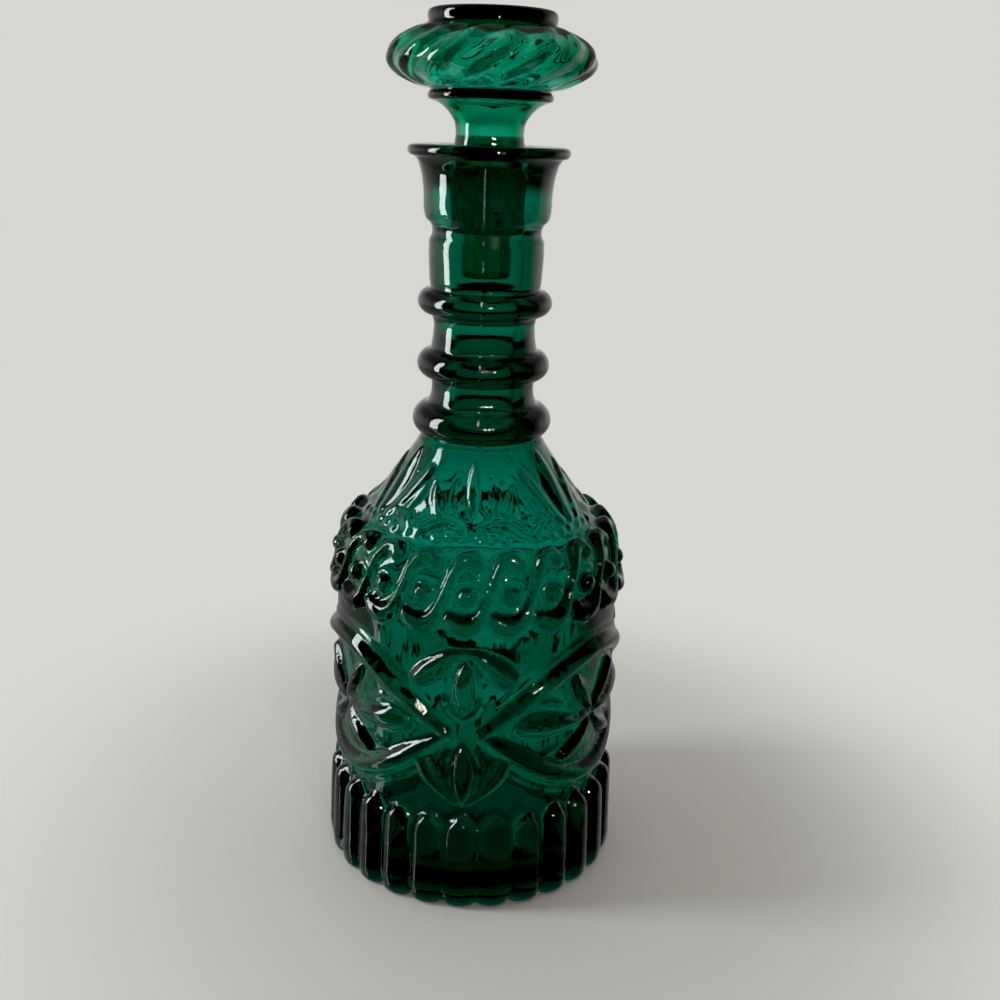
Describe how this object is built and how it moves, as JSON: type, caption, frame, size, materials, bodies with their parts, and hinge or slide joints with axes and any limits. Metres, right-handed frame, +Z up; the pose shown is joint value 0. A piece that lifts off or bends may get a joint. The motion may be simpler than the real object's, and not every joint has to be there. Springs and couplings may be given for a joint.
{
  "type": "glass bottle",
  "caption": "Tall green pressed-glass bottle with a reeded foot, ornamented body, ringed neck, flared mouth and a swirled glass stopper on a cork sleeve.",
  "frame": {"origin": "centre of the foot, on the surface that the bottle stands on", "axes": "+Z up along the bottle's axis; the front of the ornament, where two eyes meet, faces -Y"},
  "size_m": [0.0934, 0.0933, 0.26],
  "materials": {
    "green_glass": "fire-polished pressed glass, emerald green",
    "stopper_glass": "fire-polished pressed glass, emerald green",
    "cork": "matt natural cork"
  },
  "bodies": {
    "bottle": {"bottle": "green_glass"},
    "stopper": {"glass_stopper": "stopper_glass", "stopper_cork": "cork"}
  },
  "joints": [
    {"name": "stopper_lift", "type": "slide", "parent": "bottle", "child": "stopper", "axis": [0, 0, 1], "range_m": [0, 0.05]}
  ]
}
